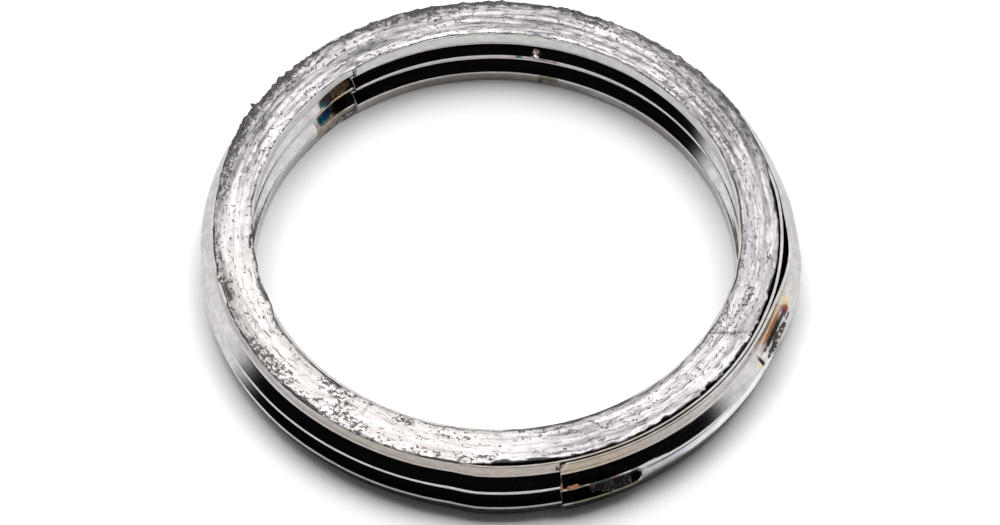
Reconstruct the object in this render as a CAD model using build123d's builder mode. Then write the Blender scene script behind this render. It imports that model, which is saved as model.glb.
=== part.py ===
from build123d import *
import os
from math import cos, radians, sin

# Driving sizes: lengths in millimetres, angles in degrees
bore_radius = 17.1
gasket_height = 5.5
face_film = 0.1  # graphite pressed over the strip's edges, top and bottom

strip_thickness = 0.25
strip_flat = 1.0  # straight edge of the strip above and below its two ridges
ridge_height = 0.75
tape_thickness = 1.4

inner_plain_turns = 3  # turns wound steel on steel at the bore
outer_plain_turns = 3  # turns wound steel on steel outside the graphite tape

start_azimuth = 130.0  # the strip's inner end, counter-clockwise from +X
joggle_angle = 12.0  # stretch just before the inner end, where each turn climbs over it
tail_angle = 206.5  # how far the strip runs on after its last full turn

loose_gap = 0.2  # the outer turns stand this far off the core on one side
loose_from = 111.0  # winding angles between which they stand off
loose_to = 228.0
lift_angle = 10.0  # stretch over which they lift off
settle_angle = 6.0  # stretch over which they settle back

weld_radius = 0.4
weld_angles = (152.0, 199.0)  # winding angles of the spot welds through the gap
tail_corner = 0.5  # rounding of the strip's outer end

film_margin = 0.15  # bare steel edge left beside the graphite face

# The strip's own width and the radius of each turn's inner side
strip_width = gasket_height - 2 * face_film
ridge_rise = (strip_width - 2 * strip_flat) / 4
tape_inner = bore_radius + inner_plain_turns * strip_thickness
tape_outer = tape_inner + tape_thickness
inner_radii = [bore_radius + turn * strip_thickness for turn in range(inner_plain_turns)]
outer_radii = [tape_outer + turn * strip_thickness for turn in range(outer_plain_turns)]
turn_radii = inner_radii + outer_radii
core_radii = turn_radii[:-1]
last_radius = turn_radii[-1]
tail_radius = last_radius + strip_thickness
joggle_from = 360 - joggle_angle


def standing_plane(turn_angle):
    """The upright plane through the bore's axis at a winding angle, with X outward and Y up."""
    azimuth = radians(start_azimuth - turn_angle)
    outward = (cos(azimuth), sin(azimuth), 0)
    clockwise = (sin(azimuth), -cos(azimuth), 0)
    return Plane(origin=(0, 0, 0), x_dir=outward, z_dir=clockwise)


def side_line(radius):
    """One side of the formed strip, from its lower edge to its upper one: two ridges between flats."""
    low = face_film
    first_ridge = low + strip_flat
    return [
        (radius, low),
        (radius, first_ridge),
        (radius + ridge_height, first_ridge + ridge_rise),
        (radius, first_ridge + 2 * ridge_rise),
        (radius + ridge_height, first_ridge + 3 * ridge_rise),
        (radius, first_ridge + 4 * ridge_rise),
        (radius, low + strip_width),
    ]


def formed_section(turn_angle, bands):
    """The upright section of some bands, each between the side lines of two radii."""
    with BuildSketch(standing_plane(turn_angle)) as section:
        for inner, outer in bands:
            with BuildLine():
                Polyline(*side_line(inner), *reversed(side_line(outer)), close=True)
            make_face()
    return section.sketch


def wound(bands, start, stop):
    """Bands that keep their radius from one winding angle to another."""
    clockwise_axis = Axis((0, 0, 0), (0, 0, -1))
    revolve(formed_section(start, bands), axis=clockwise_axis, revolution_arc=stop - start)


def climbing(band, next_band, start, stop, mode=Mode.ADD):
    """A band that climbs to another radius between two winding angles."""
    ends = [formed_section(start, [band]), formed_section(stop, [next_band])]
    loft(ends, ruled=True, mode=mode)


def steel_at(radius):
    return (radius, radius + strip_thickness)


# The last full turn with the tail on it, held tight or standing off the core
tight_pair = (last_radius, tail_radius + strip_thickness)
loose_pair = (last_radius + loose_gap, tail_radius + strip_thickness + loose_gap)
loose_last = steel_at(last_radius + loose_gap)

# Steel strip: one length, wound clockwise from the bore outward
with BuildPart() as steel_winding:
    wound([steel_at(radius) for radius in core_radii], 0, joggle_from)
    wound([tight_pair], 0, loose_from)
    climbing(tight_pair, loose_pair, loose_from, loose_from + lift_angle)
    wound([loose_pair], loose_from + lift_angle, tail_angle)
    wound([loose_last], tail_angle, loose_to - settle_angle)
    climbing(loose_last, steel_at(last_radius), loose_to - settle_angle, loose_to)
    wound([steel_at(last_radius)], loose_to, joggle_from)
    for radius, next_radius in zip(turn_radii, turn_radii[1:] + [tail_radius]):
        climbing(steel_at(radius), steel_at(next_radius), joggle_from, 360)

    # Spot welds that hold the loose turns to the core, through their lower flats
    for weld_angle in weld_angles:
        weld_seat = standing_plane(weld_angle)
        weld_start = weld_seat.from_local_coords(
            (last_radius - strip_thickness / 2, face_film + strip_flat / 2, 0)
        )
        with BuildSketch(Plane(origin=weld_start, z_dir=weld_seat.x_dir)):
            Circle(weld_radius)
        extrude(amount=loose_gap + strip_thickness)

    # The outer end's upper and lower corners are rounded
    tail_plane = standing_plane(tail_angle)
    tail_faces = steel_winding.faces().filter_by(Axis(tail_plane.origin, tail_plane.z_dir))
    tail_end = tail_faces.sort_by_distance(
        tail_plane.from_local_coords((tail_radius + loose_gap, gasket_height / 2, 0))
    )[0]
    tail_edges = tail_end.edges().sort_by(Axis.Z)
    fillet([tail_edges[0], tail_edges[-1]], radius=tail_corner)

# Graphite filler: the tape, wedged on both sides of the strip where that crosses it, and the
# faces pressed from it over the strip's edges
tape_start = (tape_inner - strip_thickness, tape_outer)
tape_stop = (tape_inner, tape_outer + strip_thickness)
film_inner = bore_radius + strip_thickness + film_margin
film_outer = last_radius + strip_thickness - film_margin
with BuildPart() as graphite_filler:
    climbing(tape_start, tape_stop, joggle_from, 360)
    climbing(steel_at(inner_radii[-1]), steel_at(tape_outer), joggle_from, 360, Mode.SUBTRACT)
    wound([(tape_inner, tape_outer)], 0, joggle_from)
    for film_level in (0, gasket_height - face_film):
        with BuildSketch(Plane.XY.offset(film_level)):
            Circle(film_outer)
            Circle(film_inner, mode=Mode.SUBTRACT)
        extrude(amount=face_film)

os.makedirs("parts", exist_ok=True)
steel_winding.part.label = "steel_winding"
export_step(steel_winding.part, "parts/steel_winding.step")
graphite_filler.part.label = "graphite_filler"
export_step(graphite_filler.part, "parts/graphite_filler.step")
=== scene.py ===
import math

import bpy
import numpy as np
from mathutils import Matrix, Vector


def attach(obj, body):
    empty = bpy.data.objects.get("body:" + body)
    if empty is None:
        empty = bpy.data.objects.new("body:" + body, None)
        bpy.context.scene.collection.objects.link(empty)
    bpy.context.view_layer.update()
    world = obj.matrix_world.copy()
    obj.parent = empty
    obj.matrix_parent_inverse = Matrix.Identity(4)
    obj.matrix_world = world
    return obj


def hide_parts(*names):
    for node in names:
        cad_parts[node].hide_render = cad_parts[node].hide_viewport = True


MM = 0.001

# The winding, in millimetres and degrees, as in the part's source
GASKET_HEIGHT = 5.5
FACE_FILM = 0.1
STRIP_PITCH = 0.25
STRIP_FLAT = 1.0
TAPE_THICKNESS = 1.4
BORE_RADIUS = 17.1
PLAIN_TURNS = 3
START_AZIMUTH = 130.0
JOGGLE_ANGLE = 12.0
TAIL_ANGLE = 206.5
TAIL_CORNER = 0.5
LOOSE_GAP = 0.2
LOOSE_FROM, LOOSE_TO = 111.0, 228.0
LIFT_ANGLE, SETTLE_ANGLE = 10.0, 6.0

# The strip as rolled: thinner than its pitch, so a hairline shows between the turns
STRIP_START = 2.7
STRIP_THICKNESS = 0.215
RIDGE_SHARP_HEIGHT = 0.85
BEND_RADIUS = 0.18

STRIP_LOW = FACE_FILM
STRIP_HIGH = GASKET_HEIGHT - FACE_FILM
LOWER_FLAT = 0.8  # the flat under the ridges is narrower than the one above them
BENDS = np.linspace(STRIP_LOW + LOWER_FLAT, STRIP_HIGH - STRIP_FLAT, 5)
FORMED_RIDGES = (0, 1, 0, 1, 0)  # how far the wall stands out at each bend, as a share

# On the right front the last turns are pressed: the lower ridge is flatter and the valley partly
# filled. Where they have sunk as well, the upper crest lies lower. Laps: from, to, soft edge.
PRESSED_RIDGES = (0, 0.75, 0.35, 1, 0)
PRESSED_LAPS = (150, 189, 4)
SUNK_BENDS = BENDS + np.array([0, 0.1, 0.15, -0.3, 0])
SUNK_LAPS = (166, 186, 6)

# How the winding strays from a true ring
OUT_OF_ROUND = 0.14  # how far the back of the ring is pushed in
PUSHED_FROM, PUSHED_TO = 4, 19
FLARE = 0.2  # how much further out the last turns stand at the floor than at the top
FLARE_MORE, FLARE_LAP, FLARE_WIDTH = 0.8, 218, 16  # and how much more of it there is in front
TUCK = 0.12  # share by which the outer turns lie closer together at the back right
TUCKED_LAPS = (14, 86, 10)
TAIL_GAP = 0.02  # between the last full turn and the tail
CRESCENT_GAP, CRESCENT_LAP, CRESCENT_WIDTH = 0.36, 136, 8  # the tail's wide gap on the right
WAVES, WAVE_CELLS = 0.02, (23, 2)  # long waves: their height, and noise cells round and up
RIPPLES, RIPPLE_CELLS = 0.006, (60, 3)

TAPE_INNER = BORE_RADIUS + PLAIN_TURNS * STRIP_PITCH
TAPE_OUTER = TAPE_INNER + TAPE_THICKNESS
TURN_RADII = [BORE_RADIUS + turn * STRIP_PITCH for turn in range(PLAIN_TURNS)]
TURN_RADII += [TAPE_OUTER + turn * STRIP_PITCH for turn in range(PLAIN_TURNS + 1)]
LAST_TURN = len(TURN_RADII) - 2
TAIL_START = 360 * (LAST_TURN + 1)
TAIL_END = TAIL_START + TAIL_ANGLE
CORE_OUTER = TURN_RADII[LAST_TURN] + STRIP_PITCH
FIRST_TURN_STOP = 364  # the strip shows in the bore up to here, and again from the last turn on

# The photograph's frame and the camera that fits its ellipses
IMAGE_WIDTH = 1000
CAMERA_ELEVATION = 54.4
CAMERA_DISTANCE = 0.28
CAMERA_ROLL = 1.4
FOCAL_PIXELS = 3990
FACE_CENTRE_PX = (496.1, 223.3)
IMAGE_CENTRE_PX = (500.0, 262.5)
SENSOR = 36.0

# Light: a wide lamp overhead, and a room with a dark and a bright side
LAMP_STRENGTH = 9.2
ROOM_DARK, ROOM_BRIGHT = 0.0035, 1.25
ROOM_SHARE = 0.14  # how much of the room's light falls on matt surfaces
FLOOR_BOUNCE = 0.62  # albedo of the floor for the light that it throws on itself

# Colours of heated and of clean steel, of a painted highlight, and a warm tint that also holds
# painted shade
CLEAN = (0.61, 0.592, 0.582)
PAINTED_HIGHLIGHT = (0.88, 0.88, 0.9)
WARM_AND_SHADED = (0.45, 0.405, 0.37)
STRAW = (0.72, 0.57, 0.3)
TAN = (0.46, 0.38, 0.29)
BROWN = (0.16, 0.1, 0.05)
AMBER = (0.55, 0.2, 0.07)
COPPER = (0.3, 0.11, 0.045)
RUST = (0.28, 0.05, 0.02)
PURPLE = (0.06, 0.02, 0.07)
BLUE = (0.004, 0.018, 0.055)
TEAL = (0.005, 0.075, 0.095)
DEEP_TEAL = (0.002, 0.04, 0.055)
OLIVE = (0.13, 0.13, 0.06)
SOOT = (0.02, 0.017, 0.015)
ASH = (0.72, 0.7, 0.66)
LAVENDER = (0.5, 0.48, 0.62)

# Colours of the crusts and of the specks on them
CHAR, BONE = (0.02, 0.018, 0.015), (0.8, 0.74, 0.64)
COAL, CLINKER = (0.008, 0.006, 0.007), (0.2, 0.15, 0.17)
PEARL, DULL_PEARL = (0.95, 0.9, 0.9), (0.5, 0.38, 0.3)
ORANGE, SAND = (0.5, 0.22, 0.1), (0.75, 0.45, 0.25)
UMBER, OCHRE = (0.13, 0.075, 0.035), (0.26, 0.17, 0.08)

# Colours of the graphite: clean on the right and back, clean on the left front, in a speck
COOL_GREY = (1.0, 0.945, 0.985, 1)
WARM_GREY = (1.0, 0.945, 0.925, 1)
SPECK = (0.055, 0.043, 0.042, 1)

# Heat marks, and on the pressed lower ridge a painted highlight and painted shade lines: winding
# angle, level, half angle, half height, colour, strength
INNER_START_MARKS = [
    (357.8, 3.15, 5.0, 0.4, BROWN, 0.95),
    (356.6, 2.68, 5.2, 0.1, TAN, 0.8),
    (358.6, 2.68, 0.8, 0.1, STRAW, 0.9),
    (357.4, 2.66, 0.6, 0.1, AMBER, 0.8),
    (356.4, 2.64, 0.6, 0.1, OLIVE, 0.5),
    (354.7, 3.06, 2.3, 0.3, SOOT, 0.95),
    (353.4, 2.93, 0.8, 0.13, TEAL, 0.9),
    (355.2, 2.97, 0.6, 0.13, PURPLE, 0.9),
    (351.4, 2.68, 1.0, 0.14, AMBER, 0.5),
    (355.6, 1.32, 4.6, 0.42, SOOT, 0.9),
    (353.1, 1.22, 1.4, 0.26, DEEP_TEAL, 1.0),
    (355.1, 1.4, 1.2, 0.26, BLUE, 1.0),
    (358.3, 1.25, 2.2, 0.36, SOOT, 1.0),
    (351.0, 1.0, 0.9, 0.24, OLIVE, 0.6),
    (356.0, 0.5, 7.0, 0.5, TAN, 0.8),
    (STRIP_START + 0.1, 4.1, 0.4, 1.2, ASH, 0.8),
    (STRIP_START + 0.1, 2.1, 0.4, 0.9, TEAL, 0.7),
    (3.9, 3.1, 1.2, 0.3, RUST, 0.8),
    (5.0, 1.3, 1.8, 0.35, OLIVE, 0.8),
    (14.0, 0.45, 9.0, 0.4, TAN, 0.45),
]
INNER_SPOT_MARKS = [
    (42.8, 2.66, 0.9, 0.1, AMBER, 0.8),
    (44.6, 2.68, 0.9, 0.14, TEAL, 0.95),
    (45.8, 2.64, 0.6, 0.1, TAN, 0.7),
    (46.8, 2.64, 0.7, 0.1, AMBER, 0.9),
    (50.3, 2.62, 2.8, 0.14, PURPLE, 0.7),
    (53.7, 2.62, 0.9, 0.14, RUST, 0.9),
    (52.0, 0.75, 2.6, 0.3, OLIVE, 0.7),
    (49.9, 0.3, 0.7, 0.2, SOOT, 0.8),
    (38.0, 0.5, 24.0, 0.5, BROWN, 0.35),
    (84.0, 0.5, 12.0, 0.5, BROWN, 0.25),
]
INNER_EDGE_MARKS = [
    (199.0, 5.38, 15.0, 0.08, SOOT, 0.85),
]
OUTER_RIGHT_MARKS = [
    (149.5, 4.72, 8.0, 0.5, STRAW, 0.6),
    (143.9, 4.05, 1.3, 0.28, STRAW, 0.75),
    (150.6, 4.22, 5.4, 0.14, COPPER, 0.95),
    (145.2, 3.95, 0.8, 0.22, RUST, 0.95),
    (146.3, 3.93, 0.7, 0.2, PURPLE, 0.9),
    (151.8, 4.0, 5.2, 0.13, SOOT, 1.0),
    (156.8, 3.65, 0.7, 0.3, ASH, 0.9),
    (158.2, 3.65, 0.42, 0.45, SOOT, 1.0),
    (159.1, 3.6, 0.4, 0.3, STRAW, 1.0),
]
OUTER_END_MARKS = [
    (199.0, 4.9, 8.5, 0.6, TAN, 0.7),
    (199.0, 2.9, 7.8, 0.95, SOOT, 0.96),
    (204.6, 3.66, 1.5, 0.22, AMBER, 0.95),
    (198.6, 3.68, 5.4, 0.07, TEAL, 0.8),
    (201.9, 3.68, 0.6, 0.08, STRAW, 0.8),
    (196.0, 3.68, 0.6, 0.08, AMBER, 0.8),
    (194.4, 3.68, 0.5, 0.08, ASH, 0.9),
    (191.6, 2.3, 0.4, 0.6, RUST, 0.9),
    (198.9, 1.4, 7.8, 1.0, OLIVE, 0.8),
    # a painted highlight on the pressed lower ridge, where it mirrors the bright floor
    (168.0, 2.1, 14.0, 0.75, PAINTED_HIGHLIGHT, 0.9),
    (182.5, 2.22, 6.5, 0.13, LAVENDER, 0.6),
    # two thin dark lines along the pressed ridge, in the soot colour: painted shade under the
    # upper crest and above the lower one
    (181.0, 2.5, 10.0, 0.1, SOOT, 0.8),
    (182.0, 1.97, 9.0, 0.07, SOOT, 0.7),
]
HEAT_AND_PAINTED_LIGHT_MARKS = INNER_START_MARKS + INNER_SPOT_MARKS + INNER_EDGE_MARKS
HEAT_AND_PAINTED_LIGHT_MARKS += [(TAIL_START + mark[0],) + mark[1:] for mark in OUTER_RIGHT_MARKS + OUTER_END_MARKS]

# Burnt crusts of the spot welds: name, winding angle, level, half angle, half height, how far
# they stand out, side of the strip (1 outside, -1 in the bore), colour, colour of their specks.
# The bead is a blister of bare steel.
CRUSTS = [
    ("crust_right", TAIL_START + 151.3, 3.56, 4.8, 0.3, 0.14, 1, CHAR, BONE),
    ("crust_end", TAIL_START + 196.4, 2.4, 4.4, 0.5, 0.05, 1, COAL, CLINKER),
    ("bead_bore", 48.6, 3.04, 1.15, 0.24, 0.26, -1, PEARL, DULL_PEARL),
    ("crust_tip", TAIL_START + 204.9, 3.6, 1.2, 0.2, 0.02, 1, ORANGE, SAND),
    ("crust_bore_start", 359.3, 3.13, 3.2, 0.3, 0.012, -1, UMBER, OCHRE),
]
PATCH_CELLS = (420, 14)  # noise cells that roughen the outlines of marks and crusts

# Where the marks need stations close together along the strip, and the steps between stations
CLOSE_RANGES = [
    (STRIP_START, 8),
    (41, 56),
    (346, 364),
    (TAIL_START + 140, TAIL_START + 162),
    (TAIL_START + 189, TAIL_END),
]
CLOSE_STEP, SEEN_STEP, HIDDEN_STEP = 0.25, 2.5, 6

# The pressed faces: name, whether it is the upper one, stations round it, places across, seed
FACES = [
    ("graphite_upper_face", True, 2000, 44, 11),
    ("graphite_lower_face", False, 1000, 26, 61),
]
LAP_LINES = (0.13, 0.3, 0.47, 0.66)  # places across a face where laps of graphite meet

# Clusters of specks on the face: from, to and soft edge of the angle on screen (0 right, 90 front,
# 180 left, 270 back), place across the face and its spread, strength
CLUSTERS = [
    (95, 100, 3, 0.25, 0.15, 0.8),
    (108, 111, 2, 0.12, 0.12, 0.8),
    (23, 31, 3, 0.25, 0.25, 0.7),
    (62, 66, 2, 0.45, 0.2, 0.6),
    (16, 20, 1.5, 0.5, 0.12, 0.9),
]
NOTCH = (159.2, 163.2, 0.8)  # in the face's outer rim, on the left


def smooth_step(low, high, value):
    """Nothing below low, one above high, eased in between."""
    share = np.clip((value - low) / (high - low), 0, 1)
    return share * share * (3 - 2 * share)


def bump(centre, width, value):
    """One at the centre, falling off on both sides."""
    return np.exp(-(((value - centre) / width) ** 2))


def between(low, high, soft, value):
    """One between two values, falling to nothing over a soft edge outside them."""
    return smooth_step(low - soft, low, value) * (1 - smooth_step(high, high + soft, value))


def ring_noise(turn, across, cells, seed):
    """Smooth noise from -1 to 1 that closes on itself round the ring."""
    around_cells, across_cells = cells
    lattice = np.random.default_rng(seed).uniform(-1, 1, (around_cells, across_cells + 2))
    a = (turn % 1.0) * around_cells
    b = np.clip(across, 0, 1) * across_cells
    a0 = np.floor(a).astype(int)
    b0 = np.floor(b).astype(int)
    fa, fb = a - a0, b - b0
    fa, fb = fa * fa * (3 - 2 * fa), fb * fb * (3 - 2 * fb)
    a1 = (a0 + 1) % around_cells
    a0 = a0 % around_cells
    low = lattice[a0, b0] * (1 - fa) + lattice[a1, b0] * fa
    high = lattice[a0, b0 + 1] * (1 - fa) + lattice[a1, b0 + 1] * fa
    return low * (1 - fb) + high * fb


# Meshes


def grid_mesh(name, points, closed_around, colours=None, masks=None):
    """A smooth closed mesh from a grid of points in millimetres: stations by section places."""
    stations, places = points.shape[:2]
    index = np.arange(stations * places).reshape(stations, places)
    rows = index if not closed_around else np.vstack([index, index[:1]])
    grid = np.hstack([rows, rows[:, :1]])
    quads = np.stack([grid[:-1, :-1], grid[:-1, 1:], grid[1:, 1:], grid[1:, :-1]], axis=-1)
    faces = [tuple(quad) for quad in quads.reshape(-1, 4).tolist()]
    if not closed_around:
        faces.append(tuple(index[0].tolist()))
        faces.append(tuple(index[-1, ::-1].tolist()))
    mesh = bpy.data.meshes.new(name)
    mesh.from_pydata((points.reshape(-1, 3) * MM).tolist(), [], faces)
    mesh.shade_smooth()
    for label, values in (colours or {}).items():
        layer = mesh.color_attributes.new(label, "FLOAT_COLOR", "POINT")
        alpha = np.ones(values.shape[:2] + (1,))
        layer.data.foreach_set("color", np.concatenate([values, alpha], axis=-1).ravel())
    for label, values in (masks or {}).items():
        layer = mesh.attributes.new(label, "FLOAT", "POINT")
        layer.data.foreach_set("value", values.ravel())
    mesh.update()
    piece = bpy.data.objects.new(name, mesh)
    bpy.context.scene.collection.objects.link(piece)
    return piece


def polar_points(azimuth, radius, level):
    """Points round the ring, which is pushed in a little at the back."""
    away = radius * np.sin(azimuth)
    pushed = away - OUT_OF_ROUND * smooth_step(PUSHED_FROM, PUSHED_TO, away)
    return np.stack([radius * np.cos(azimuth), pushed, level], axis=-1)


def ridge_offset(level, pressed=0.0, sunk=0.0):
    """How far the strip's wall stands out at a level: two ridges, rounded by averaging."""
    level = np.asarray(level)[..., None]
    reach = BEND_RADIUS * (1 + 0.15 * bump(BENDS[2], 0.4, level))
    at_flats = bump(BENDS[0], 0.3, level) + bump(BENDS[-1], 0.3, level)
    reach = reach - 0.45 * BEND_RADIUS * at_flats
    samples = level + reach * np.linspace(-1, 1, 9)
    formed = np.interp(samples, BENDS, FORMED_RIDGES).mean(axis=-1)
    flattened = np.interp(samples, BENDS, PRESSED_RIDGES).mean(axis=-1)
    lowered = np.interp(samples, SUNK_BENDS, PRESSED_RIDGES).mean(axis=-1)
    offset = formed + pressed * (flattened - formed) + sunk * (lowered - flattened)
    return RIDGE_SHARP_HEIGHT * offset


def strip_levels():
    """Levels up the strip's side, closer together round its bends."""
    levels = [STRIP_LOW, STRIP_LOW + 0.03, STRIP_LOW + 0.25, STRIP_LOW + 0.5]
    levels += [STRIP_HIGH, STRIP_HIGH - 0.03, STRIP_HIGH - 0.25, STRIP_HIGH - 0.5]
    for low, high in zip(BENDS, BENDS[1:]):
        levels += [low + share * (high - low) for share in (0.34, 0.45, 0.55, 0.66)]
    for bend in BENDS:
        levels += [bend + share * BEND_RADIUS for share in (-1.0, -0.5, 0.0, 0.5, 1.0)]
    return np.array(sorted(levels))


def strip_stations():
    """Winding angles along the strip: close together at the marks, far apart where hidden."""
    inner = np.arange(STRIP_START, FIRST_TURN_STOP, SEEN_STEP)
    hidden = np.arange(FIRST_TURN_STOP + 2, 360 * LAST_TURN, HIDDEN_STEP)
    outer = np.arange(360 * LAST_TURN, TAIL_END, SEEN_STEP)
    close = [np.arange(start, stop, CLOSE_STEP) for start, stop in CLOSE_RANGES]
    end = TAIL_END - np.array([0.04, 0.02, 0])
    return np.unique(np.round(np.concatenate([inner, hidden, outer, *close, end]), 3))


def turn_radius(winding):
    """Radius of the strip's inner side at a winding angle, counted on through all turns."""
    turn = np.minimum(np.floor(winding / 360).astype(int), LAST_TURN + 1)
    lap = winding - 360 * turn
    radii = np.array(TURN_RADII + [TURN_RADII[-1] + STRIP_PITCH])
    climb = smooth_step(360 - JOGGLE_ANGLE, 360, lap)
    return radii[turn] + climb * (radii[turn + 1] - radii[turn])


def looseness(lap):
    """One where the outer turns stand off the core, nothing where they are held tight."""
    lift = smooth_step(LOOSE_FROM, LOOSE_FROM + LIFT_ANGLE, lap)
    return lift - smooth_step(LOOSE_TO - SETTLE_ANGLE, LOOSE_TO, lap)


def stand_off(winding):
    """How far the last full turn and the tail stand off the core."""
    lap = winding % 360
    outer = winding >= 360 * LAST_TURN
    tail = winding >= TAIL_START
    tail_gap = TAIL_GAP + CRESCENT_GAP * bump(CRESCENT_LAP, CRESCENT_WIDTH, lap)
    return outer * looseness(lap) * LOOSE_GAP + tail * tail_gap


def mark_mask(winding, level, mark, warp):
    """A soft-edged patch on the strip, its outline roughened by a noise."""
    centre, centre_level, half_angle, half_height = mark[:4]
    along = (winding - centre) / half_angle
    up = (level - centre_level) / half_height
    return 1 - smooth_step(0.55, 1.45, (along**2 + up**2) * (1 + 0.45 * warp))


def strip_look(winding, level):
    """Colour of the strip: clean steel with its marks; in front, painted shade low down and a warm
    tint with painted shade on the upper flat.
    """
    turn, height = winding / 360 + 0 * level, level / GASKET_HEIGHT + 0 * winding
    warp = ring_noise(turn, height, PATCH_CELLS, 21)
    front = between(TAIL_START - 170, TAIL_START - 110, 20, winding)
    front = np.maximum(front, between(TAIL_START + 185, TAIL_END, 20, winding))
    # painted shade: in front the steel mirrors the shadowed floor, so it is darkened low down, and
    # its upper flat takes the warm tint, which is darker too
    painted_shade = 1 - 0.42 * (front * (1 - smooth_step(2.0, 2.5, level)))[..., None]
    front = (front * smooth_step(4.1, 4.5, level))[..., None]
    colour = np.array(CLEAN) * painted_shade * (1 - front) + np.array(WARM_AND_SHADED) * front
    colour = np.broadcast_to(colour, turn.shape + (3,)).copy()
    for mark in HEAT_AND_PAINTED_LIGHT_MARKS:
        share = (mark[5] * mark_mask(winding, level, mark, warp))[..., None]
        colour = colour * (1 - share) + np.array(mark[4]) * share
    return colour


def strip_radius(winding, level, outside):
    """The strip's inner or outer side, with its waviness, where the photograph shows it."""
    turn, lap = winding / 360, winding % 360
    height = level / GASKET_HEIGHT
    last_turns = winding > 360 * LAST_TURN
    seen = np.maximum(winding < FIRST_TURN_STOP, last_turns)
    wobble = WAVES * ring_noise(turn, 0 * height, WAVE_CELLS, 5) * seen
    wobble = wobble + RIPPLES * ring_noise(turn, height, RIPPLE_CELLS, 6) * seen
    pressed = between(*PRESSED_LAPS, lap) * last_turns
    sunk = between(*SUNK_LAPS, lap) * last_turns
    radius = turn_radius(winding) + stand_off(winding) + wobble
    radius = radius + ridge_offset(level + 0 * winding, pressed, sunk)
    radius = radius + outside * STRIP_THICKNESS
    tucked = TUCK * between(*TUCKED_LAPS, lap) * np.maximum(turn_radius(winding) - TAPE_OUTER, 0)
    flare = FLARE * (1 + FLARE_MORE * bump(FLARE_LAP, FLARE_WIDTH, lap)) * (1 - height)
    flare = flare * (winding > 360 * LAST_TURN - HIDDEN_STEP)
    return radius - tucked + flare


def strip_mesh():
    """The whole steel strip: one wound band whose free end has rounded corners."""
    winding = strip_stations()[:, None]
    azimuth = np.radians(START_AZIMUTH - winding)
    levels = strip_levels()
    side = np.concatenate([levels, levels[::-1]])[None, :]
    outside = np.concatenate([np.zeros(len(levels)), np.ones(len(levels))])[None, :]
    radius = strip_radius(winding, side, outside)
    arc_left = np.radians(TAIL_END - winding) * CORE_OUTER
    round_off = np.sqrt(np.maximum(TAIL_CORNER**2 - (TAIL_CORNER - arc_left) ** 2, 0))
    cut = np.where(arc_left < TAIL_CORNER, TAIL_CORNER - round_off, 0)
    level = np.clip(side + 0 * radius, STRIP_LOW + cut, STRIP_HIGH - cut)
    points = polar_points(azimuth + 0 * radius, radius, level)
    return grid_mesh("steel_strip", points, False, {"tint": strip_look(winding, side)})


def crust_mesh(crust):
    """A lumpy crust on the strip's side, which stands out in the middle and sinks in round it."""
    name, centre, middle, half_angle, half_height, stand_out, side, dark, light = crust
    arc = math.radians(half_angle) * CORE_OUTER
    along = np.linspace(-1.5, 1.5, max(int(3 * arc / 0.06), 40))[:, None]
    up = np.linspace(-1.5, 1.5, max(int(3 * half_height / 0.04), 24))[None, :]
    winding = centre + half_angle * along
    level = middle + half_height * up
    turn, height = winding / 360 + 0 * level, level / GASKET_HEIGHT + 0 * winding
    coarse = ring_noise(turn, height, PATCH_CELLS, 31)
    lumps = ring_noise(turn, height, (900, 34), 32)
    grit = ring_noise(turn, height, (1700, 70), 33)
    cover = 1 - smooth_step(0.45, 1.35, (along**2 + up**2) * (1 + 0.5 * coarse + 0.25 * lumps))
    proud = cover * (stand_out * (0.7 + 0.45 * lumps) + 0.025 * grit + 0.012) - 0.03 * (1 - cover)
    wall = strip_radius(winding, level, 1.0 if side > 0 else 0.0)
    azimuth = np.radians(START_AZIMUTH - winding) + 0 * wall
    front = polar_points(azimuth, wall + side * proud, level + 0 * wall)
    rear = polar_points(azimuth, wall - side * 0.07, level + 0 * wall)[:, ::-1]
    points = np.concatenate([front, rear], axis=1)
    speck = smooth_step(0.2, 0.38, grit * 0.6 + lumps * 0.6)[..., None]
    colour = np.array(dark) * (1 - speck) + np.array(light) * speck
    colour = np.concatenate([colour, colour[:, ::-1]], axis=1)
    return grid_mesh(name, points if side > 0 else points[:, ::-1].copy(), False, {"tint": colour})


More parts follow.
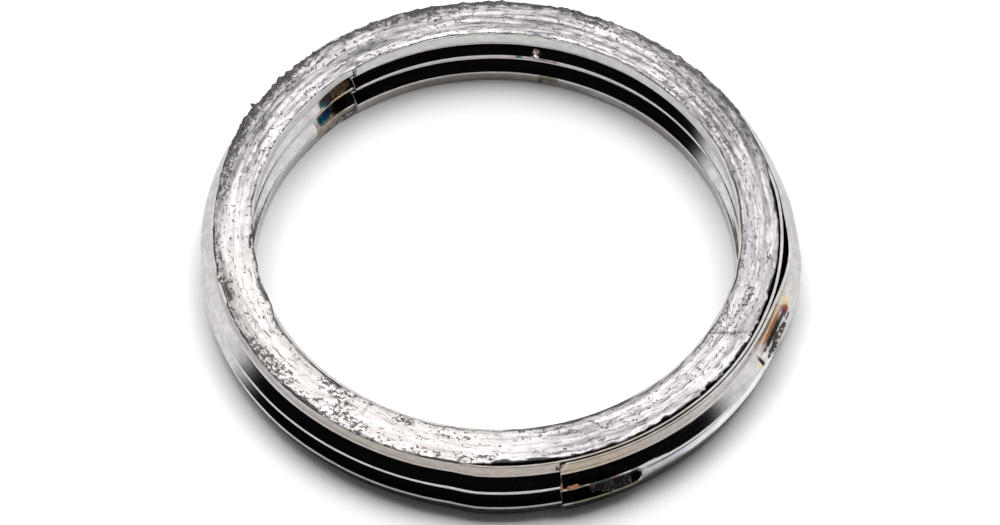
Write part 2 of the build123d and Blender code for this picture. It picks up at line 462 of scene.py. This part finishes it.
def face_look(turn, screen, across, seed):
    """Tone, specks, streaks and warmth of a pressed face, by the angle round it and across it."""
    # sectors of the face and noises on it
    back = between(205, 325, 25, screen)
    right = np.maximum(between(0, 70, 22, screen), between(325, 360, 25, screen))
    left = between(150, 205, 15, screen)
    patches = ring_noise(turn, across, (44, 5), seed + 2)
    laps = ring_noise(turn, across, (34, 11), seed + 3)
    jag = ring_noise(turn, 0 * across, (210, 1), seed + 4)
    scaly = ring_noise(turn, across, (330, 22), seed + 5)
    # dark, scaly rims
    faded = back * (1 - 0.5 * between(298, 340, 10, screen))
    rim = faded * smooth_step(0.68, 0.9, across + 0.1 * patches + 0.06 * jag + 0.06 * scaly)
    side_rim = left * smooth_step(0.68, 0.86, across + 0.08 * patches)
    right_rim = between(300, 345, 20, screen) * smooth_step(0.8, 0.9, across + 0.06 * patches)
    # tone of the sectors, then patches and laps
    far_right = np.maximum(between(340, 360, 12, screen), between(0, 20, 10, screen))
    front = between(75, 140, 12, screen)
    tone = 0.665 - 0.12 * right - 0.17 * back - 0.05 * front - 0.06 * far_right
    tone = tone * (1 - 0.28 * (1 - back) * (1 - smooth_step(0.03, 0.24, across)))
    tone = tone + 0.16 * back * (1 - smooth_step(0.04, 0.3, across))
    tone = tone - 0.1 * left * smooth_step(0.4, 0.7, across)
    tone = tone + (0.03 + 0.1 * back + 0.02 * right) * patches
    tone = tone + (0.02 + 0.1 * back + 0.03 * right) * laps
    lap_line = np.zeros(np.broadcast_shapes(turn.shape, across.shape))
    for count, place in enumerate(LAP_LINES):
        presence = smooth_step(-0.1, 0.4, ring_noise(turn, 0 * across, (30, 1), seed + 10 + count))
        drift = 0.012 * ring_noise(turn, 0 * across, (9, 1), seed + 15 + count)
        lap_line = np.maximum(lap_line, presence * bump(place, 0.014, across + drift))
    tone = tone * (1 - (0.12 + 0.45 * back + 0.2 * right) * lap_line)
    tone = tone * (1 - (0.55 + 0.3 * scaly) * rim) * (1 - (0.42 + 0.25 * scaly) * side_rim)
    tone = tone * (1 - 0.75 * faded * smooth_step(0.84, 0.93, across + 0.05 * jag))
    tone = tone * (1 - (0.35 + 0.3 * scaly) * right_rim)
    # broken dark lines along both edges: painted shade of the gaps where the face meets the steel
    broken = ring_noise(turn, 0 * across, (110, 1), seed + 7)
    edge_gap_shade = smooth_step(-0.3, 0.2, broken) * (1 - back)
    gap_shade_width = 0.05 + 0.03 * between(85, 140, 10, screen)
    gap_shade_width = gap_shade_width * (1 + 0.7 * ring_noise(turn, 0 * across, (190, 1), seed + 9))
    tone = tone * (1 - 0.93 * edge_gap_shade * smooth_step(0.0, 0.02, across - 1 + gap_shade_width))
    tone = tone * (1 - 0.8 * edge_gap_shade * (1 - smooth_step(0.035, 0.06, across)))
    # specks, dense in the clusters and at the rims
    cluster = 1.25 * between(118, 145, 6, screen) * smooth_step(0.5, 0.8, across + 0.08 * patches)
    cluster = np.maximum(cluster, between(122.5, 128.5, 3, screen + 6 * (across - 0.4)))
    for start, stop, soft, place, spread, strength in CLUSTERS:
        spot = strength * between(start, stop, soft, screen) * bump(place, spread, across)
        cluster = np.maximum(cluster, spot)
    outer_side = 0.55 * between(88, 120, 8, screen) * smooth_step(0.6, 0.85, across)
    cluster = np.maximum(cluster, outer_side)
    specks = 0.28 + 0.24 * patches + 0.55 * cluster * (1 + 0.6 * laps)
    specks = specks + 0.3 * side_rim + 0.12 * back + (0.4 + 0.25 * scaly) * rim
    specks = specks + 0.15 * (1 - back) * (1 - smooth_step(0.05, 0.25, across))
    specks = specks + 0.25 * smooth_step(0.93, 1.0, across)
    specks = specks + 0.25 * (1 - smooth_step(0.0, 0.08, across))
    streaks = (0.3 + 0.6 * back + 0.35 * right + 0.25 * left * across) * (1 - 0.5 * rim)
    warmth = between(95, 165, 30, screen) + 0 * tone
    look = {"tone": tone, "specks": specks, "streaks": streaks, "warmth": warmth}
    return {label: np.clip(values, 0, 1) for label, values in look.items()}, rim


def face_marks(screen, across, tone, height):
    """Single marks of the upper face: a fold on the right, notches and a slit on the left; their
    dark lines and hollows are painted shade.
    """
    fold = screen + 5.3 * across
    step = smooth_step(30.5, 31.5, fold) * (1 - smooth_step(31.5, 44, fold)) * (across < 0.88)
    height = height + 0.03 * step
    # a dark line at the foot of the fold's step: painted shade
    tone = tone * (1 - (0.7 - 0.4 * across) * bump(30.9, 0.3, fold) * (across < 0.88))
    crease = bump(70.2, 0.3, screen + 1.2 * across) * between(0.35, 0.85, 0.1, across)
    # darker along the crease: painted shade
    tone = tone * (1 - 0.3 * crease)
    inner_notch = between(156.3, 161.5, 1.0, screen) * (1 - smooth_step(0.08, 0.15, across))
    notch = np.maximum(between(*NOTCH, screen) * smooth_step(0.82, 0.9, across), inner_notch)
    # the notches are darkened: painted shade in them
    tone = tone * (1 - 0.82 * notch)
    slit = between(171.4, 175.2, 0.25, screen) * (1 - smooth_step(0.1, 0.12, across))
    # the slit is nearly black: painted shade in it
    tone = tone * (1 - 0.97 * slit)
    cross_line = bump(118.5, 0.3, screen) * (1 - smooth_step(0.3, 0.5, across))
    return tone * (1 - 0.45 * cross_line), height - 0.06 * notch - 0.08 * slit


def graphite_face(name, top, stations, places, seed):
    """One pressed face: a thin skin over the strip's edges with ragged rims, smeared in rings."""
    turn = (np.arange(stations) / stations)[:, None]
    azimuth = 2 * np.pi * turn
    across = np.linspace(0, 1, places)[None, :]
    screen = (-np.degrees(azimuth)) % 360
    lap = (START_AZIMUTH + screen) % 360
    back = between(205, 325, 14, screen)

    def round_noise(cells, offset):
        return ring_noise(turn, 0 * turn, (cells, 1), seed + offset)

    # the two rims, frayed at the back and with one loose flake there
    crumbs = round_noise(420, 1)
    inner = BORE_RADIUS + 0.12 + 0.05 * round_noise(160, 0)
    inner = inner + 0.14 * between(128, 148, 5, screen)
    inner = inner - 0.03 * back - 0.19 * between(155, 178, 4, screen)
    tight = CORE_OUTER - 0.07 - 0.09 * between(168, 188, 3, screen)
    outer = tight - looseness(lap) * STRIP_PITCH + 0.03 * round_noise(240, 5)
    outer = outer + (0.02 + 0.09 * between(20, 60, 8, screen)) * np.maximum(crumbs, -0.2)
    outer = outer + 0.09 * looseness(lap) * (1 + round_noise(26, 8))
    ragged = 0.5 + 0.5 * round_noise(330, 6)
    frayed = back * (0.16 + 0.15 * ragged**2 + 0.03 * crumbs + 0.035 * round_noise(900, 9))
    frayed = frayed + 0.42 * bump(209.6, 0.35, screen)
    outer = outer + frayed * (1.0 if top else 0.15) - 0.16 * between(*NOTCH, screen)
    narrow = np.maximum(between(338, 360, 10, screen), between(0, 12, 8, screen))
    outer = outer + 0.09 * narrow + 0.1 * between(62, 96, 8, screen)
    radius = inner + (outer - inner) * across
    edge = np.minimum(across, 1 - across) * (outer - inner)
    # looks and relief
    look, rim = face_look(turn, screen, across, seed + 20)
    smear = ring_noise(turn, across, (90, 16), seed + 3)
    fine = ring_noise(turn, across, (700, 34), seed + 4)
    relief = (0.01 + 0.012 * rim) * smear + (0.006 + 0.022 * rim) * fine
    drop = (0.07 - 0.045 * back * (across > 0.5)) * (1 - smooth_step(0, 0.12, edge))
    height = GASKET_HEIGHT - 0.02 - drop + relief
    if top:
        look["tone"], height = face_marks(screen, across, look["tone"], height)
    # the skin, and the two rims tucked in under it
    skin = polar_points(azimuth + 0 * radius, radius, np.minimum(height, GASKET_HEIGHT))
    rim_out = polar_points(azimuth, outer - 0.06, STRIP_HIGH - 0.12 - 0.1 * back)
    rim_in = polar_points(azimuth, inner + 0.1, STRIP_HIGH - 0.12 + 0 * azimuth)
    points = np.concatenate([skin, rim_out, rim_in], axis=1)
    for label, v in look.items():
        look[label] = np.concatenate([v, v[:, -1:], v[:, :1]], axis=1)
    # the tucked-in rims are darkened: painted shade in the gaps beside the steel
    look["tone"][:, -2:] *= 0.6
    if not top:
        points = points[:, ::-1].copy()
        look = {label: values[:, ::-1] for label, values in look.items()}
        points[..., 2] = GASKET_HEIGHT - points[..., 2]
    return grid_mesh(name, points, True, masks=look)


def tape_mesh():
    """The graphite tape between the inner and outer turns, held in by their ridges."""
    azimuth = (np.arange(240) / 240 * 2 * np.pi)[:, None]
    lap = (START_AZIMUTH - np.degrees(azimuth)) % 360
    climb = smooth_step(360 - JOGGLE_ANGLE, 360, lap) * STRIP_PITCH
    levels = strip_levels()[None, :]
    inner = TAPE_INNER + climb + ridge_offset(levels) + 0.01
    outer = TAPE_OUTER + ridge_offset(levels) - 0.01 + 0 * inner
    inner = np.minimum(inner, outer - 0.2)
    azimuth, levels = azimuth + 0 * inner, levels + 0 * inner
    bore_side = polar_points(azimuth, inner, levels)
    outside = polar_points(azimuth, outer, levels)[:, ::-1]
    points = np.concatenate([bore_side, outside], axis=1)
    tone = np.full(points.shape[:2], 0.3)
    look = {"tone": tone, "specks": tone, "streaks": tone, "warmth": 0 * tone}
    return grid_mesh("graphite_tape", points, True, masks=look)


# Materials


def new_material(name):
    material = bpy.data.materials.new(name)
    material.use_nodes = True
    tree = material.node_tree
    return material, tree, tree.nodes["Principled BSDF"]


def add(tree, kind, settings=None, **inputs):
    """A node with its properties and inputs set: an input is a value or another node's socket."""
    node = tree.nodes.new(kind)
    for key, value in (settings or {}).items():
        setattr(node, key, value)
    for key, value in inputs.items():
        socket = node.inputs[int(key[1:])] if key[0] == "_" else node.inputs[key.replace("_", " ")]
        if isinstance(value, bpy.types.NodeSocket):
            tree.links.new(value, socket)
        else:
            socket.default_value = value
    return node


def maths(tree, operation, first, second=0.0, third=0.0):
    node = add(tree, "ShaderNodeMath", {"operation": operation}, _0=first, _1=second, _2=third)
    return node.outputs[0]


def vector_maths(tree, operation, first, **inputs):
    node = add(tree, "ShaderNodeVectorMath", {"operation": operation}, _0=first, **inputs)
    return node.outputs


def ramp(tree, value, low, high, start, stop):
    """A value's stretch from low to high, eased, turned into start to stop."""
    node = add(tree, "ShaderNodeMapRange", {"interpolation_type": "SMOOTHSTEP"}, Value=value)
    for index, number in ((1, low), (2, high), (3, start), (4, stop)):
        node.inputs[index].default_value = number
    return node.outputs[0]


def surface_value(tree, label):
    return add(tree, "ShaderNodeAttribute", {"attribute_name": label}).outputs


def shifted(tree, vector, distance):
    """Coordinates pushed along Z."""
    push = add(tree, "ShaderNodeCombineXYZ", Z=distance)
    return vector_maths(tree, "ADD", vector, _1=push.outputs[0])[0]


def ring_vector(tree, around, across, up):
    """Texture coordinates that run round the ring: scaled round it, outward and upward."""
    position = add(tree, "ShaderNodeTexCoord").outputs["Object"]
    parts = add(tree, "ShaderNodeSeparateXYZ", Vector=position)
    flat = add(tree, "ShaderNodeCombineXYZ", X=parts.outputs["X"], Y=parts.outputs["Y"])
    radius = vector_maths(tree, "LENGTH", flat.outputs[0])["Value"]
    heading = vector_maths(tree, "NORMALIZE", flat.outputs[0])[0]
    round_it = vector_maths(tree, "SCALE", heading, Scale=around)[0]
    outward = maths(tree, "MULTIPLY", radius, across)
    upward = maths(tree, "MULTIPLY_ADD", parts.outputs["Z"], up, outward)
    return shifted(tree, round_it, upward)


def noise(tree, vector, detail, scale=1.0):
    node = add(tree, "ShaderNodeTexNoise", Vector=vector, Scale=scale, Detail=detail)
    return node.outputs["Fac"]


def wandering(tree, vector, value, amount):
    """Ring coordinates pushed by a value, so that lines drawn along the ring wander."""
    return shifted(tree, vector, maths(tree, "MULTIPLY", value, amount))


def steel_material():
    material, tree, shader = new_material("rolled_steel")
    streaks = noise(tree, ring_vector(tree, 5.0, 0.0, 16000.0), 3.0)
    stains = noise(tree, ring_vector(tree, 30.0, 0.0, 2500.0), 4.0)
    tint = surface_value(tree, "tint")["Color"]
    stained = ramp(tree, stains, 0.35, 0.65, 0.84, 1.0)
    shade = maths(tree, "MULTIPLY", stained, ramp(tree, streaks, 0.3, 0.7, 0.88, 1.0))
    colour = vector_maths(tree, "SCALE", tint, Scale=shade)[0]
    relief = add(tree, "ShaderNodeBump", Strength=0.12, Distance=0.00002, Height=streaks)
    tree.links.new(colour, shader.inputs["Base Color"])
    tree.links.new(ramp(tree, streaks, 0.3, 0.7, 0.05, 0.13), shader.inputs["Roughness"])
    tree.links.new(relief.outputs[0], shader.inputs["Normal"])
    shader.inputs["Metallic"].default_value = 1.0
    return material


def crust_material():
    material, tree, shader = new_material("burnt_crust")
    place = add(tree, "ShaderNodeTexCoord").outputs["Object"]
    grain = noise(tree, place, 4.0, 9000.0)
    shade = ramp(tree, grain, 0.35, 0.65, 0.55, 1.2)
    tint = surface_value(tree, "tint")["Color"]
    colour = vector_maths(tree, "SCALE", tint, Scale=shade)[0]
    relief = add(tree, "ShaderNodeBump", Strength=0.6, Distance=0.00003, Height=grain)
    tree.links.new(colour, shader.inputs["Base Color"])
    tree.links.new(ramp(tree, grain, 0.35, 0.65, 0.3, 0.6), shader.inputs["Roughness"])
    tree.links.new(relief.outputs[0], shader.inputs["Normal"])
    shader.inputs["Metallic"].default_value = 0.15
    return material


def graphite_material():
    material, tree, shader = new_material("pressed_graphite")
    tone = surface_value(tree, "tone")["Fac"]
    density = surface_value(tree, "specks")["Fac"]
    streakiness = surface_value(tree, "streaks")["Fac"]
    place = add(tree, "ShaderNodeTexCoord").outputs["Object"]
    rough = {"Scale": 1500.0, "Detail": 6.0, "Roughness": 0.6}
    mottle = add(tree, "ShaderNodeTexNoise", Vector=place, **rough).outputs["Fac"]
    blots = noise(tree, place, 5.0, 3500.0)
    flakes = noise(tree, place, 3.0, 6500.0)
    bands = noise(tree, wandering(tree, ring_vector(tree, 4.0, 3900.0, 900.0), mottle, 1.6), 3.0)
    dashes = noise(tree, wandering(tree, ring_vector(tree, 16.0, 7000.0, 900.0), mottle, 3.0), 2.0)
    grit = noise(tree, wandering(tree, ring_vector(tree, 46.0, 5200.0, 3000.0), mottle, 2.0), 4.0)
    # light and dark bands along the ring, then blotches, then broken dark lines and specks
    band = maths(tree, "MULTIPLY", ramp(tree, bands, 0.32, 0.68, -0.62, 0.34), streakiness)
    shade = maths(tree, "MULTIPLY", tone, maths(tree, "ADD", band, 1.0))
    blotch = maths(tree, "MULTIPLY_ADD", streakiness, 0.6, 0.3)
    blotch = maths(tree, "MULTIPLY", ramp(tree, mottle, 0.32, 0.64, -0.3, 0.16), blotch)
    shade = maths(tree, "MULTIPLY", shade, maths(tree, "ADD", blotch, 1.0))
    broken = maths(tree, "MULTIPLY_ADD", streakiness, 0.1, 0.28)
    dash = ramp(tree, maths(tree, "SUBTRACT", dashes, broken), 0.0, 0.06, 1.0, 0.0)
    shade = maths(tree, "MULTIPLY", shade, maths(tree, "MULTIPLY_ADD", dash, -0.6, 1.0))
    # where specks are dense, light and dark flakes too
    flaky = ramp(tree, density, 0.6, 0.82, 0.0, 1.0)
    flake = maths(tree, "MULTIPLY", ramp(tree, flakes, 0.36, 0.64, -0.55, 0.6), flaky)
    shade = maths(tree, "MULTIPLY", shade, maths(tree, "ADD", flake, 1.0))
    # a speck shows where the grit rises above a limit, which is lower where specks are dense
    limit = maths(tree, "MULTIPLY_ADD", density, -0.17, 0.68)
    above = maths(tree, "SUBTRACT", maths(tree, "MAXIMUM", grit, blots), limit)
    speck = ramp(tree, above, 0.0, 0.07, 0.0, 1.0)
    warmth = surface_value(tree, "warmth")["Fac"]
    hue = add(tree, "ShaderNodeMix", {"data_type": "RGBA"}, _0=warmth, _6=COOL_GREY, _7=WARM_GREY)
    lit = vector_maths(tree, "SCALE", hue.outputs[2], Scale=shade)[0]
    cover = maths(tree, "MULTIPLY", speck, 0.92)
    colour = add(tree, "ShaderNodeMix", {"data_type": "RGBA"}, _0=cover, _6=lit, _7=SPECK)
    rough_height = maths(tree, "MULTIPLY_ADD", speck, -1.0, maths(tree, "SUBTRACT", mottle, dash))
    relief = add(tree, "ShaderNodeBump", Strength=0.5, Distance=0.00003, Height=rough_height)
    tree.links.new(colour.outputs[2], shader.inputs["Base Color"])
    tree.links.new(ramp(tree, mottle, 0.3, 0.7, 0.5, 0.34), shader.inputs["Roughness"])
    tree.links.new(relief.outputs[0], shader.inputs["Normal"])
    shader.inputs["Metallic"].default_value = 0.5
    return material


def dress(piece, material, node):
    """Gives a piece its material, hangs it under the root body and hides the solid that it
    replaces.
    """
    piece.data.materials.clear()
    piece.data.materials.append(material)
    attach(piece, "root")
    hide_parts(node)


# Stage


def floor_material():
    material, tree, shader = new_material("white_floor")
    # white, but it throws less light back on the floor beside it, so the contact shadow stays dark
    depth = add(tree, "ShaderNodeLightPath").outputs["Diffuse Depth"]
    albedo = ramp(tree, depth, 0.0, 1.0, 1.0, FLOOR_BOUNCE)
    colour = add(tree, "ShaderNodeCombineXYZ", X=albedo, Y=albedo, Z=albedo)
    tree.links.new(colour.outputs[0], shader.inputs["Base Color"])
    shader.inputs["Roughness"].default_value = 1.0
    shader.inputs["Specular IOR Level"].default_value = 0.0
    return material


def build_floor():
    bpy.ops.mesh.primitive_plane_add(size=4.0, location=(0, 0, 0))
    floor = bpy.context.object
    floor.name = "floor"
    floor.data.materials.append(floor_material())


def build_world():
    """A bright room, dark low down on the viewer's side, which the steel mirrors as black."""
    world = bpy.data.worlds.new("studio")
    bpy.context.scene.world = world
    world.use_nodes = True
    tree = world.node_tree
    direction = add(tree, "ShaderNodeTexCoord").outputs["Generated"]
    unit = vector_maths(tree, "NORMALIZE", direction)[0]
    parts = add(tree, "ShaderNodeSeparateXYZ", Vector=unit)
    flat = add(tree, "ShaderNodeCombineXYZ", X=parts.outputs["X"], Y=parts.outputs["Y"])
    heading = vector_maths(tree, "NORMALIZE", flat.outputs[0])[0]
    toward = add(tree, "ShaderNodeSeparateXYZ", Vector=heading)
    # the dark side reaches further round on the left than on the right
    left_side = ramp(tree, toward.outputs["X"], -0.3, 0.3, 1.0, 0.0)
    turned = maths(tree, "MULTIPLY_ADD", left_side, -0.2, toward.outputs["Y"])
    beside = ramp(tree, turned, -0.4, -0.06, 0.0, 1.0)
    above = ramp(tree, parts.outputs["Z"], 0.68, 0.85, 0.0, 1.0)
    room = ramp(tree, maths(tree, "MAXIMUM", beside, above), 0.0, 1.0, ROOM_DARK, ROOM_BRIGHT)
    # what falls on matt surfaces comes mostly from a wide lamp overhead, a little to the back
    width = ramp(tree, maths(tree, "ABSOLUTE", parts.outputs["X"]), 0.28, 0.56, 1.0, 0.0)
    behind = ramp(tree, parts.outputs["Y"], -0.12, 0.08, 0.0, 1.0)
    fall = maths(tree, "MAXIMUM", maths(tree, "MULTIPLY_ADD", parts.outputs["Y"], -1.3, 1.0))
    lamp = maths(tree, "MULTIPLY", maths(tree, "MULTIPLY", width, behind), fall)
    overhead = maths(tree, "GREATER_THAN", parts.outputs["Z"])
    lamp = maths(tree, "MULTIPLY", lamp, overhead)
    fill = maths(tree, "MULTIPLY", room, ROOM_SHARE)
    soft = maths(tree, "MULTIPLY_ADD", lamp, LAMP_STRENGTH, fill)
    glossy = add(tree, "ShaderNodeLightPath").outputs["Is Glossy Ray"]
    light = add(tree, "ShaderNodeMix", {"data_type": "FLOAT"}, _0=glossy, _2=soft, _3=room)
    background = tree.nodes["Background"]
    background.inputs["Color"].default_value = (1, 1, 1, 1)
    tree.links.new(light.outputs[0], background.inputs["Strength"])


def build_camera():
    """The camera whose view fits the photograph's two face ellipses."""
    camera_data = bpy.data.cameras.new("camera")
    camera = bpy.data.objects.new("camera", camera_data)
    bpy.context.scene.collection.objects.link(camera)
    target = Vector((0, 0, GASKET_HEIGHT * MM))
    elevation = math.radians(CAMERA_ELEVATION)
    away = Vector((0, -math.cos(elevation), math.sin(elevation)))
    camera.location = target + away * CAMERA_DISTANCE
    camera.rotation_euler = (target - camera.location).to_track_quat("-Z", "Y").to_euler()
    camera.rotation_euler.rotate_axis("Z", math.radians(CAMERA_ROLL))
    camera_data.sensor_width = SENSOR
    camera_data.lens = FOCAL_PIXELS * SENSOR / IMAGE_WIDTH
    camera_data.shift_x = (IMAGE_CENTRE_PX[0] - FACE_CENTRE_PX[0]) / IMAGE_WIDTH
    camera_data.shift_y = (FACE_CENTRE_PX[1] - IMAGE_CENTRE_PX[1]) / IMAGE_WIDTH
    camera_data.clip_start = 0.01
    bpy.context.scene.camera = camera


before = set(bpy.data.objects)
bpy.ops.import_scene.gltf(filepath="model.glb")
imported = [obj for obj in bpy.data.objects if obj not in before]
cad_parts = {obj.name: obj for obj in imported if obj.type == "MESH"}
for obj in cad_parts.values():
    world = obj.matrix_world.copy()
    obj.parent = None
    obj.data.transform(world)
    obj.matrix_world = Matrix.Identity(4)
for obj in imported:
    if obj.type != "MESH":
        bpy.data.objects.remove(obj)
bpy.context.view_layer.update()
bpy.context.scene.view_settings.view_transform = "Standard"

build_camera()
build_world()
build_floor()

steel = steel_material()
graphite = graphite_material()
burnt = crust_material()
dress(strip_mesh(), steel, "steel_winding")
for face in FACES:
    dress(graphite_face(*face), graphite, "graphite_filler")
dress(tape_mesh(), graphite, "graphite_filler")
for crust in CRUSTS:
    bare = crust[0].startswith("bead")
    dress(crust_mesh(crust), steel if bare else burnt, "steel_winding")
